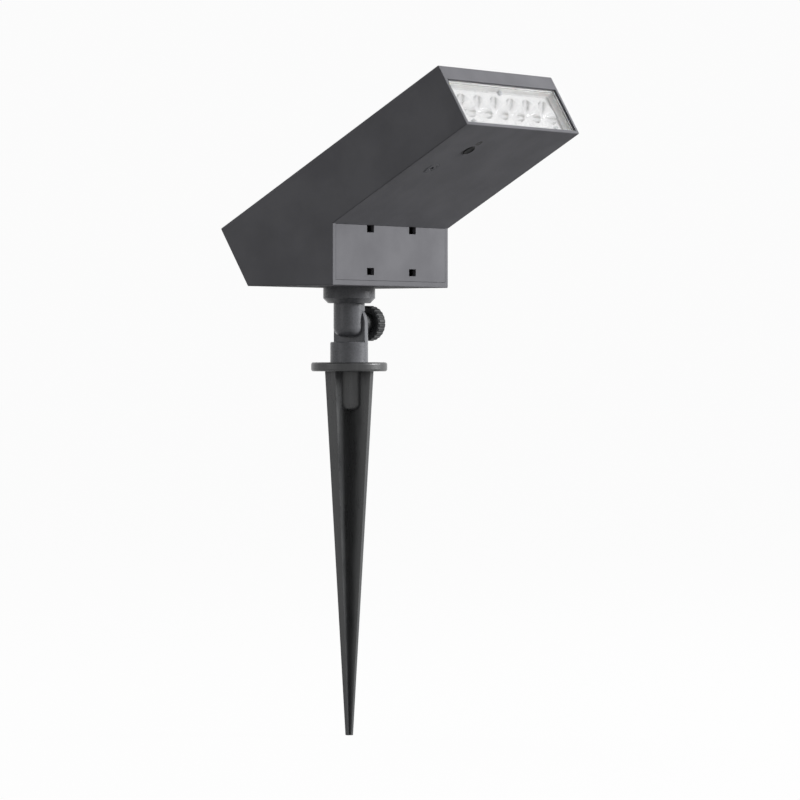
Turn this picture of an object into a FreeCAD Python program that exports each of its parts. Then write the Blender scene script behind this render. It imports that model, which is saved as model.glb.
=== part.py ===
import FreeCAD, Part
import math
import os
import re
import Sketcher
from FreeCAD import Placement, Rotation, Vector

# Garden spike spotlight with a solar panel on its sloping bar.
# Frame: millimetres, origin where the spike's axis meets the underside of its flange (the soil
# line), +X towards the lit end, +Z up, +Y towards the clamp knob.
# Bar frame: origin at the bar's lowest rear edge, x along the slope, z square to it.

# The driving dimensions, in millimetres and degrees.
SIZES = {
    # spike
    "flange_radius": 25.3,
    "flange_thickness": 6,
    "flange_round": 1.5,
    "spike_length": 242,
    "rib_reach": 18.5,
    "rib_tip_reach": 2.4,
    "rib_thickness": 3.6,
    "rib_tip_thickness": 2,
    "boss_radius": 10.4,
    "boss_depth": 26,
    "boss_round": 5.2,
    "socket_depth": 24,
    # lower knuckle
    "spigot_radius": 8,
    "spigot_fit": 0.1,
    "spigot_depth": 22,
    "collar_radius": 12.6,
    "collar_height": 13.5,
    "collar_chamfer": 0.5,
    "pivot_height": 32,
    "lap_gap": 0.1,
    "ear_flat": 10.6,
    "ear_flat_radius": 7,
    "socket_screw_radius": 2,
    "socket_screw_length": 9,
    "socket_screw_head": 3.6,
    "socket_screw_cap": 2,
    "socket_screw_round": 1,
    "socket_screw_drop": 9,
    # upper knuckle
    "stem_radius": 10.4,
    "stem_end": 9,
    "stem_round": 6,
    "saddle_gap": 0.5,
    "disc_bottom": 13.3,
    "disc_radius": 17.3,
    "disc_chamfer": 3.2,
    "foot_rise": 24,
    "swivel_gap": 0.1,
    "swivel_radius": 8,
    "swivel_fit": 0.1,
    "seal_radius": 12.5,
    "seal_section": 1.2,
    "seal_fit": 0.05,
    "washer_radius": 12.5,
    "washer_thickness": 1.5,
    "locknut_flats": 24,
    "locknut_height": 6,
    "thread_end": 2,
    "thread_chamfer": 0.6,
    # clamp
    "screw_radius": 3,
    "screw_fit": 0.1,
    "insert_radius": 4.5,
    "insert_length": 8,
    "insert_end": 0.5,
    "clamp_washer_radius": 6.5,
    "clamp_washer_thickness": 1.2,
    "hub_gap": 0.1,
    "hub_radius": 6.5,
    "knob_start": 17.8,
    "knob_radius": 11.8,
    "knob_thickness": 8.4,
    "knob_round": 1,
    "knob_rim": 2.6,
    "knob_back_dish": 1.2,
    "knob_face_dish": 0.6,
    "knob_cap": 3,
    "flute_count": 24,
    "flute_radius": 0.9,
    "flute_stand": 0.3,
    # bar and foot
    "bar_length": 200,
    "bar_width": 134,
    "bar_height": 44,
    "bar_slope": 30.2,
    "wall": 2.5,
    "edge_round": 0.7,
    "foot_length": 68.6,
    "foot_floor": 4,
    "foot_front": 4.5,
    # how deep a rib or post is rooted in its wall, and how far a cut runs past it
    "root": 0.5,
    "run_out": 1,
    # panel on top
    "panel_rim": 3,
    "panel_fit": 0.3,
    "panel_ledge": 5,
    "panel_ledge_front": 13,
    "ledge_thickness": 2.5,
    "glass_thickness": 3,
    "cell_thickness": 0.4,
    "backsheet_thickness": 0.8,
    "seal_thickness": 0.5,
    "cell_columns": 2,
    "cell_rows": 6,
    "cell_gap": 2,
    "cell_margin": 5,
    # lamp window
    "window_band": 10,
    "window_lip": 2,
    "window_side": 2.8,
    "window_fit": 0.2,
    "window_ledge": 2.5,
    "ledge_depth": 3,
    "lens_recess": 1.5,
    "lens_thickness": 3,
    "lens_gap": 2,
    "gasket_width": 1.6,
    "reflector_plate": 1.5,
    "cup_count": 6,
    "cup_pitch": 19.2,
    "cup_mouth": 8.9,
    "cup_throat": 3.4,
    "cup_depth": 12,
    "cup_wall": 0.6,
    "lamp_screw_radius": 0.85,
    "lamp_screw_length": 4,
    "lamp_screw_head": 1.7,
    "lamp_screw_cap": 1.2,
    "lamp_screw_side": 18,
    "lamp_screw_edge": 3.8,
    "lamp_boss_radius": 2.2,
    "lamp_hole": 1.02,
    "pilot_fit": 0.05,
    "led_size": 4.4,
    "led_height": 1.2,
    "led_board_thickness": 1.6,
    "led_board_height": 16,
    "heat_plate_thickness": 3,
    "heat_plate_bottom": 9,
    "heat_plate_fit": 0.1,
    "rail_width": 4,
    "rail_thickness": 3,
    # inside; the board is placed from the bar's front face and its near side
    "board_thickness": 1.6,
    "board_rise": 3,
    "board_back": 16,
    "board_length": 48,
    "board_side": 17,
    "board_width": 74,
    "board_hole": 1.8,
    "post_radius": 3,
    "post_inset": 5,
    "board_screw_radius": 1.5,
    "board_screw_length": 4.4,
    "board_screw_cap": 1.2,
    "switch_side": 6,
    "battery_radius": 9.1,
    "battery_length": 65,
    "battery_count": 2,
    "battery_tip_radius": 3,
    "battery_tip": 1,
    "battery_gap": 0.1,
    "tray_wall": 1.5,
    "tray_room": 4,
    "tray_gap": 4.3,
    "tray_depth": 9,
    # underside, placed from the bar's front face and its near side
    "button_back": 28.3,
    "button_side": 39,
    "button_radius": 4.2,
    "button_clearance": 0.3,
    "button_proud": 0.6,
    "button_round": 0.5,
    "button_flange": 5.4,
    "button_plate": 1,
    "button_travel": 0.7,
    "button_gap": 0.1,
    "indicator_back": 20,
    "indicator_side": 40,
    "indicator_radius": 2.5,
    "indicator_shank": 1.75,
    "vent_back": 51.5,
    "vent_side": 25.5,
    "vent_radius": 5.5,
    "vent_shank": 3.85,
    "plug_fit": 0.1,
    "plug_head": 1.2,
    "plug_end": 1,
    # foot cover
    "cover_frame": 3.5,
    "cover_fit": 0.2,
    "cover_thickness": 2.5,
    "cover_ledge": 1.5,
    "cover_lip": 1.2,
    "cover_lip_top": 30,
    "catch_gap": 0.1,
    "catch_thickness": 0.8,
    "catch_bite": 0.6,
    "slot_width": 8,
    "slot_height": 4.7,
    "slot_side": 24.3,
    "slot_low": 9.5,
    "slot_high": 37.4,
}

doc = FreeCAD.newDocument("spike_spotlight")
sheet = doc.addObject("Spreadsheet::Sheet", "sizes")
for row, (word, number) in enumerate(SIZES.items(), start=1):
    sheet.set(f"A{row}", word)
    sheet.set(f"B{row}", str(number))
    sheet.setAlias(f"B{row}", word)
doc.recompute()

# Lengths that follow from the driving ones.
FOOT_X = "(foot_length / cos(bar_slope))"
PANEL_Z = "(bar_height - glass_thickness)"
CELL_Z = f"({PANEL_Z} - cell_thickness)"
BACKSHEET_Z = f"({CELL_Z} - backsheet_thickness)"
SEAL_Z = f"({BACKSHEET_Z} - seal_thickness)"
CEILING_Z = f"({SEAL_Z} - ledge_thickness)"
PANEL_HALF = "(bar_width / 2 - panel_rim)"
LENS_FRONT = "(bar_length - lens_recess)"
LENS_BACK = f"({LENS_FRONT} - lens_thickness)"
PLATE_FRONT = f"({LENS_BACK} - lens_gap)"
PLATE_BACK = f"({PLATE_FRONT} - reflector_plate)"
CHAMBER_END = f"({PLATE_BACK} - ledge_depth)"
CUP_BACK = f"({PLATE_FRONT} - cup_depth)"
LED_BOARD_BACK = f"({CUP_BACK} - led_board_thickness)"
HEAT_PLATE_BACK = f"({LED_BOARD_BACK} - heat_plate_thickness)"
WINDOW_TOP = "(bar_height - window_band)"
WINDOW_HALF = "(bar_width / 2 - window_side)"
WINDOW_MID = f"(({WINDOW_TOP} + window_lip) / 2)"
INNER_HALF = "(bar_width / 2 - wall)"
BOARD_Z = "(wall + board_rise)"
FOOT_HEIGHT = "(foot_length * tan(bar_slope))"
FOOT_Z = "(pivot_height + foot_rise)"
COLLAR_TOP = "(flange_thickness + collar_height)"
SADDLE_RADIUS = "(collar_radius + saddle_gap)"
BOARD_END = "(bar_length - board_back)"
BOARD_START = f"({BOARD_END} - board_length)"
TRAY_ROOM = "(battery_radius * 2 * battery_count + battery_gap * (battery_count + 1))"
TRAY_END = f"({BOARD_START} - tray_gap)"
TRAY_START = f"({TRAY_END} - {TRAY_ROOM} - tray_wall * 2)"
BUTTON_X = "(bar_length - button_back)"
INDICATOR_X = "(bar_length - indicator_back)"
VENT_X = "(bar_length - vent_back)"
BOARD_LEFT = "(board_side - bar_width / 2)"
BOARD_RIGHT = f"({BOARD_LEFT} + board_width)"
BUTTON_Y = "(button_side - bar_width / 2)"
INDICATOR_Y = "(indicator_side - bar_width / 2)"
VENT_Y = "(vent_side - bar_width / 2)"


def bound(text):
    """An expression with each of the sheet's names made a reference to the sheet."""
    return re.sub(r"[a-z]\w*", lambda word: "sizes." + word[0] if word[0] in SIZES else word[0], text)


def value(text):
    """What an expression comes to, as a number."""
    return float(sheet.evalExpression(bound(text)))


def place(piece, x="0", y="0", z="0", axis=(0, 1, 0), turn="0", prop="Placement"):
    """Binds a placement to the sheet."""
    setattr(piece, prop, Placement(Vector(), Rotation(Vector(*axis), 1)))
    for axis_name, text in (("x", x), ("y", y), ("z", z)):
        piece.setExpression(f".{prop}.Base.{axis_name}", bound(text))
    piece.setExpression(f".{prop}.Rotation.Angle", bound(turn))


def on_bar(piece):
    """Lays a piece that is drawn in the bar frame on the sloping bar."""
    place(piece, x="-foot_length / 2", z=FOOT_Z, turn="-bar_slope")


def body(name):
    made = doc.addObject("PartDesign::Body", name)
    made.Label = name
    return made


def sketch(part, plane, name, x="0", y="0", z="0", axis=(0, 0, 1), turn="0"):
    """A sketch on one of the body's own planes, moved and turned within it."""
    made = part.newObject("Sketcher::SketchObject", name)
    support = [datum for datum in part.Origin.OriginFeatures if datum.Role == plane]
    made.AttachmentSupport = [(support[0], "")]
    made.MapMode = "FlatFace"
    place(made, x, y, z, axis, turn, prop="AttachmentOffset")
    return made


def fix(drawing, line, end, x, y):
    """Ties one end of a line to its place."""
    for kind, text in (("DistanceX", x), ("DistanceY", y)):
        rule = drawing.addConstraint(Sketcher.Constraint(kind, -1, 1, line, end, value(text)))
        drawing.setExpression(f"Constraints[{rule}]", bound(text))


def outline(drawing, corners, arcs=None):
    """A closed outline. arcs gives the radius of each side that is an arc, below 0 if it turns right."""
    arcs = arcs or {}
    points = [Vector(value(x), value(y), 0) for x, y in corners]
    first = drawing.GeometryCount
    for side, start in enumerate(points):
        end = points[(side + 1) % len(points)]
        if side not in arcs:
            drawing.addGeometry(Part.LineSegment(start, end), False)
            continue
        radius = value(arcs[side])
        half = (end - start) * 0.5
        rise = abs(radius) - math.sqrt(max(0, radius**2 - half.Length**2))
        outward = Vector(half.y, -half.x, 0).normalize() * math.copysign(rise, radius)
        drawing.addGeometry(Part.Arc(start, start + half + outward, end), False)
    for side, corner in enumerate(corners):
        last = first + (side - 1) % len(corners)
        this = first + side
        # an arc's own first and second ends run anticlockwise
        last_end = 1 if value(arcs.get((side - 1) % len(corners), "1")) < 0 else 2
        this_end = 2 if value(arcs.get(side, "1")) < 0 else 1
        drawing.addConstraint(Sketcher.Constraint("Coincident", last, last_end, this, this_end))
        fix(drawing, this, this_end, *corner)
        if side in arcs:
            rule = drawing.addConstraint(Sketcher.Constraint("Radius", this, abs(value(arcs[side]))))
            drawing.setExpression(f"Constraints[{rule}]", bound(f"abs({arcs[side]})"))


def rectangle(drawing, left, low, right, high):
    outline(drawing, [(left, low), (right, low), (right, high), (left, high)])


def circle(drawing, x, y, radius):
    middle = Vector(value(x), value(y), 0)
    line = drawing.addGeometry(Part.Circle(middle, Vector(0, 0, 1), value(radius)), False)
    fix(drawing, line, 3, x, y)
    rule = drawing.addConstraint(Sketcher.Constraint("Radius", line, value(radius)))
    drawing.setExpression(f"Constraints[{rule}]", bound(radius))


def feature(part, kind, name, drawing, length, side="One side", back=False):
    """A pad or pocket of a sketch."""
    made = part.newObject(f"PartDesign::{kind}", name)
    made.Profile = drawing
    made.SideType = side
    made.Reversed = back
    made.setExpression("Length", bound(length))
    drawing.Visibility = False
    return made


def pad(part, name, drawing, length, side="One side", back=False):
    return feature(part, "Pad", name, drawing, length, side, back)


def pocket(part, name, drawing, length, side="One side", back=False):
    return feature(part, "Pocket", name, drawing, length, side, back)


def spun(part, kind, name, drawing, axis="V_Axis", turn=360):
    """A turn of a sketch about one of its own axes, a full one unless it says less."""
    made = part.newObject(f"PartDesign::{kind}", name)
    made.Profile = drawing
    made.ReferenceAxis = (drawing, [axis])
    made.Angle = turn
    return made


def edges(made, wanted):
    """The names of the edges of a feature that pass a test."""
    doc.recompute()
    return [f"Edge{number}" for number, edge in enumerate(made.Shape.Edges, start=1) if wanted(edge)]


def dress(part, kind, name, made, names, prop, length):
    """A fillet or chamfer on named edges of a feature."""
    dressed = part.newObject(f"PartDesign::{kind}", name)
    dressed.Base = (made, names)
    dressed.setExpression(prop, bound(length))
    return dressed


def box(name, x, y, z, length, width, height):
    """A block from its lowest corner and its three sides."""
    made = doc.addObject("Part::Box", name)
    for prop, text in (("Length", length), ("Width", width), ("Height", height)):
        made.setExpression(prop, bound(text))
    place(made, x, y, z)
    return made


def rod(name, x, y, z, radius, length, axis=(0, 1, 0), turn="0"):
    """A cylinder from the middle of one end."""
    made = doc.addObject("Part::Cylinder", name)
    made.setExpression("Radius", bound(radius))
    made.setExpression("Height", bound(length))
    place(made, x, y, z, axis, turn)
    return made


def joined(name, pieces):
    made = doc.addObject("Part::MultiFuse", name)
    made.Shapes = pieces
    return made


def group(name, pieces):
    """Separate solids that share a node."""
    made = doc.addObject("Part::Compound", name)
    made.Label = name
    made.Links = pieces
    return made


def from_world(dx, dz):
    """A point given level and plumb from the bar's lowest rear edge, in the bar frame."""
    return (f"(({dx}) * cos(bar_slope) + ({dz}) * sin(bar_slope))",
            f"(({dz}) * cos(bar_slope) - ({dx}) * sin(bar_slope))")


WASHER_Z = "(foot_rise + foot_floor + swivel_gap)"
LOCKNUT_TOP = f"({WASHER_Z} + washer_thickness + locknut_height)"
KNOB_END = "(knob_start + knob_thickness)"
POSTS = [(x, y) for x in (f"({BOARD_START} + post_inset)", f"({BOARD_END} - post_inset)")
         for y in (f"({BOARD_LEFT} + post_inset)", f"({BOARD_RIGHT} - post_inset)")]
LAMP_SCREWS = [("0", f"({WINDOW_TOP} - lamp_screw_edge)"),
               ("(lamp_screw_side - bar_width / 2)", "(window_lip + lamp_screw_edge)"),
               ("(bar_width / 2 - lamp_screw_side)", "(window_lip + lamp_screw_edge)")]
# the foot's upright front, for a sketch on the housing's YZ plane
FOOT_FACE = {"y": from_world("foot_length", "0")[1], "z": from_world("foot_length", "0")[0],
             "axis": (1, 0, 0), "turn": "bar_slope"}


def at_point(piece, x, y):
    """Lays a piece that is drawn about its own axis at a point of the bar's underside."""
    place(piece, x=f"-foot_length / 2 + {x} * cos(bar_slope)", y=y,
          z=f"{FOOT_Z} + {x} * sin(bar_slope)", turn="-bar_slope")


# ---------------------------------------------------------------- spike and lower knuckle

def ground_spike():
    """Moulded spike: a round flange, a socket boss and four ribs in a cross that taper to the tip."""
    part = body("ground_spike")
    profile = sketch(part, "XZ_Plane", "flange_profile")
    outline(profile, [
        ("0", "-boss_depth"), ("boss_radius - boss_round", "-boss_depth"),
        ("boss_radius", "-boss_depth + boss_round"),
        ("boss_radius", "0"), ("flange_radius - flange_round", "0"), ("flange_radius", "flange_round"),
        ("flange_radius", "flange_thickness - flange_round"),
        ("flange_radius - flange_round", "flange_thickness"), ("0", "flange_thickness"),
    ], arcs={1: "boss_round", 4: "flange_round", 6: "flange_round"})
    spun(part, "Revolution", "flange", profile)
    sections = []
    for name, drop, reach, thickness in (
        ("ribs_top", "0", "rib_reach", "rib_thickness / 2"),
        ("ribs_tip", "spike_length", "rib_tip_reach", "rib_tip_thickness / 2"),
    ):
        drawing = sketch(part, "XY_Plane", name, z=f"-({drop})")
        quarter = [(reach, f"-{thickness}"), (reach, thickness), (thickness, thickness)]
        corners = []
        for x, y in quarter * 4:
            turned = len(corners) // 3
            x_then_y = [(x, y), (f"-({y})", x), (f"-({x})", f"-({y})"), (y, f"-({x})")]
            corners.append(x_then_y[turned])
        outline(drawing, corners)
        sections.append(drawing)
    ribs = part.newObject("PartDesign::AdditiveLoft", "ribs")
    ribs.Profile = sections[0]
    ribs.Sections = [sections[1]]
    ribs.Ruled = True
    socket = sketch(part, "XY_Plane", "socket_circle", z="flange_thickness")
    circle(socket, "0", "0", "spigot_radius + spigot_fit")
    pocket(part, "socket", socket, "flange_thickness + socket_depth - spigot_fit")
    hole = sketch(part, "XZ_Plane", "screw_circle", axis=(0, 1, 0), turn="45")
    circle(hole, "0", "-socket_screw_drop", "socket_screw_radius")
    pocket(part, "screw_hole", hole, "boss_radius + run_out")
    return part


def knuckle_base():
    """Die-cast lower knuckle: a spigot, a collar and a domed top, halved to leave one ear on the +Y side."""
    part = body("knuckle_base")
    profile = sketch(part, "XZ_Plane", "blank_profile")
    outline(profile, [
        ("0", "-spigot_depth"), ("spigot_radius", "-spigot_depth"), ("spigot_radius", "flange_thickness"),
        ("collar_radius", "flange_thickness"), ("collar_radius", "pivot_height"),
        ("0", "pivot_height + collar_radius"),
    ], arcs={4: "collar_radius"})
    spun(part, "Revolution", "blank", profile)
    half = sketch(part, "XZ_Plane", "lap_side", z="-lap_gap / 2")
    rectangle(half, "-collar_radius - run_out", COLLAR_TOP, "collar_radius + run_out",
              "pivot_height + collar_radius + run_out")
    lap = pocket(part, "lap", half, "collar_radius + run_out", back=True)
    shoulder = edges(lap, lambda edge: edge.BoundBox.ZLength < 0.01 and edge.BoundBox.YLength > 1
                     and abs(edge.BoundBox.ZMax - value(COLLAR_TOP)) < 0.01)
    dress(part, "Chamfer", "shoulder_chamfer", lap, shoulder, "Size", "collar_chamfer")
    seat = sketch(part, "XZ_Plane", "seat_circle", z="-ear_flat")
    circle(seat, "0", "pivot_height", "ear_flat_radius")
    pocket(part, "washer_seat", seat, "collar_radius - ear_flat + run_out")
    hole = sketch(part, "XZ_Plane", "pivot_circle")
    circle(hole, "0", "pivot_height", "screw_radius + screw_fit")
    pocket(part, "pivot_hole", hole, "collar_radius + run_out")
    screw = sketch(part, "XZ_Plane", "screw_circle", axis=(0, 1, 0), turn="45")
    circle(screw, "0", "-socket_screw_drop", "socket_screw_radius")
    pocket(part, "screw_hole", screw, "spigot_radius + run_out")
    return part


def socket_screw():
    """Self-tapping screw that locks the spigot in the socket, between two ribs on the hidden side."""
    part = body("socket_screw")
    shank = sketch(part, "XY_Plane", "shank_circle")
    circle(shank, "0", "0", "socket_screw_radius")
    pad(part, "shank", shank, "socket_screw_length", back=True)
    head_circle = sketch(part, "XY_Plane", "head_circle")
    circle(head_circle, "0", "0", "socket_screw_head")
    head_pad = pad(part, "head", head_circle, "socket_screw_cap")
    rim = edges(head_pad, lambda edge: edge.BoundBox.ZMin > 0.1 and edge.Closed)
    dress(part, "Fillet", "head_round", head_pad, rim, "Radius", "socket_screw_round")
    part.Placement = Placement(Vector(), Rotation(Vector(0, 0, 1), 135) * Rotation(Vector(0, 1, 0), 90))
    for axis_name, sign in (("x", "-"), ("y", "")):
        reach = f"{sign}(boss_radius + screw_fit) * cos(45)"
        part.setExpression(f".Placement.Base.{axis_name}", bound(reach))
    part.setExpression(".Placement.Base.z", bound("-socket_screw_drop"))
    return part


# ---------------------------------------------------------------- upper knuckle, drawn about its pivot

def knuckle_stem():
    """Die-cast upper knuckle: a domed end halved to a tongue on the -Y side, a stem, a disc and a spigot."""
    part = body("knuckle_stem")
    disc_top = "(foot_rise - swivel_gap)"
    groove_floor = f"{disc_top} - seal_section * 2 + swivel_gap"
    profile = sketch(part, "XZ_Plane", "blank_profile")
    outline(profile, [
        ("0", "-stem_end"), ("stem_radius - stem_round", "-stem_end"),
        ("stem_radius", "-stem_end + stem_round"), ("stem_radius", "disc_bottom"),
        ("disc_radius - disc_chamfer", "disc_bottom"), ("disc_radius", "disc_bottom + disc_chamfer"),
        ("disc_radius", disc_top), ("seal_radius + seal_section", disc_top),
        ("seal_radius + seal_section", groove_floor), ("seal_radius - seal_section", groove_floor),
        ("seal_radius - seal_section", disc_top), ("swivel_radius", disc_top),
        ("swivel_radius", f"{LOCKNUT_TOP} + thread_end - thread_chamfer"),
        ("swivel_radius - thread_chamfer", f"{LOCKNUT_TOP} + thread_end"),
        ("0", f"{LOCKNUT_TOP} + thread_end"),
    ], arcs={1: "stem_round"})
    spun(part, "Revolution", "blank", profile)
    # the ear turns in a half ball about the pivot, and the stem ends where the ball leaves its side
    ball = sketch(part, "XZ_Plane", "saddle_profile")
    outline(ball, [("0", "0"), (SADDLE_RADIUS, "0"), ("0", SADDLE_RADIUS)], arcs={1: SADDLE_RADIUS})
    spun(part, "Groove", "saddle", ball, turn=180)
    half = sketch(part, "XZ_Plane", "lap_side", z="lap_gap / 2")
    rectangle(half, "-stem_radius - run_out", "-stem_end - run_out", "stem_radius + run_out",
              f"sqrt({SADDLE_RADIUS}^2 - stem_radius^2)")
    pocket(part, "lap", half, "stem_radius + run_out")
    insert = sketch(part, "XZ_Plane", "insert_circle", z="lap_gap / 2")
    circle(insert, "0", "0", "insert_radius")
    pocket(part, "insert_seat", insert, "insert_length", back=True)
    place(part, z="pivot_height")
    return part


def thread_insert():
    """Brass insert in the tongue that the clamp screw is threaded into."""
    part = body("thread_insert")
    ring = sketch(part, "XZ_Plane", "insert_rings", z="lap_gap / 2")
    circle(ring, "0", "0", "insert_radius")
    circle(ring, "0", "0", "screw_radius + screw_fit")
    pad(part, "insert", ring, "insert_length")
    place(part, z="pivot_height")
    return part


def ring_section(name, section):
    """A ring that lies round the swivel axis, drawn from its section."""
    part = body(name)
    profile = sketch(part, "XZ_Plane", f"{name}_section")
    section(profile)
    spun(part, "Revolution", f"{name}_ring", profile)
    place(part, z="pivot_height")
    return part


def swivel_seal():
    """Square-cut rubber ring between the disc and the foot."""
    side = "(seal_section - seal_fit)"
    return ring_section("swivel_seal", lambda drawing: rectangle(
        drawing, f"seal_radius - {side}", f"foot_rise - seal_fit - {side} * 2", f"seal_radius + {side}",
        "foot_rise - seal_fit"))


def swivel_washer():
    """Steel friction washer between the foot's floor and the locknut."""
    return ring_section("swivel_washer", lambda drawing: rectangle(
        drawing, "swivel_radius + swivel_fit", WASHER_Z, "washer_radius", f"{WASHER_Z} + washer_thickness"))


def stem_locknut():
    """Hexagon nut on the spigot's thread, which holds the head on the stem."""
    part = body("stem_locknut")
    plan = sketch(part, "XY_Plane", "hexagon", z=f"{WASHER_Z} + washer_thickness")
    reach = "(locknut_flats / 2 / cos(30))"
    outline(plan, [(f"{reach} * cos({60 * corner})", f"{reach} * sin({60 * corner})") for corner in range(6)])
    circle(plan, "0", "0", "swivel_radius")
    pad(part, "nut", plan, "locknut_height")
    place(part, z="pivot_height")
    return part


# ---------------------------------------------------------------- clamp, drawn about the pivot

def clamp_washer():
    """Steel washer between the ear's flat and the knob's hub."""
    part = body("clamp_washer")
    ring = sketch(part, "XZ_Plane", "washer_rings", z="-ear_flat")
    circle(ring, "0", "0", "clamp_washer_radius")
    circle(ring, "0", "0", "screw_radius + screw_fit")
    pad(part, "washer", ring, "clamp_washer_thickness", back=True)
    place(part, z="pivot_height")
    return part


def clamp_knob():
    """Moulded thumb knob: a hub towards the ear, a dished fluted disc and a screw moulded into it."""
    part = body("clamp_knob")
    hub_start = "(ear_flat + clamp_washer_thickness + hub_gap)"
    profile = sketch(part, "XY_Plane", "knob_profile")
    outline(profile, [
        ("screw_radius", hub_start), ("hub_radius", hub_start), ("hub_radius", "knob_start + knob_back_dish"),
        ("knob_radius - knob_rim", "knob_start"), ("knob_radius - knob_round", "knob_start"),
        ("knob_radius", "knob_start + knob_round"), ("knob_radius", f"{KNOB_END} - knob_round"),
        ("knob_radius - knob_round", KNOB_END), ("knob_radius - knob_rim", f"{KNOB_END} - knob_face_dish"),
        ("0", f"{KNOB_END} - knob_face_dish"), ("0", f"{KNOB_END} - knob_cap"),
        ("screw_radius", f"{KNOB_END} - knob_cap"),
    ])
    spun(part, "Revolution", "knob", profile)
    flute = sketch(part, "XZ_Plane", "flute_circle", z=f"-{KNOB_END}")
    circle(flute, "knob_radius + flute_stand", "0", "flute_radius")
    cut = pocket(part, "flute", flute, "knob_thickness", back=True)
    turns = part.newObject("PartDesign::PolarPattern", "flutes")
    turns.Originals = [cut]
    turns.Axis = (flute, ["N_Axis"])
    turns.Angle = 360
    turns.setExpression("Occurrences", bound("flute_count"))
    part.Tip = turns
    place(part, z="pivot_height")
    return part


def clamp_screw():
    """Steel screw, moulded into the knob, through the ear and into the tongue's insert."""
    part = body("clamp_screw")
    shank = sketch(part, "XZ_Plane", "shank_circle", z="insert_length - insert_end")
    circle(shank, "0", "0", "screw_radius")
    pad(part, "shank", shank, f"insert_length - insert_end + {KNOB_END} - knob_cap", back=True)
    place(part, z="pivot_height")
    return part


# ---------------------------------------------------------------- head, drawn in the bar frame

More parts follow.
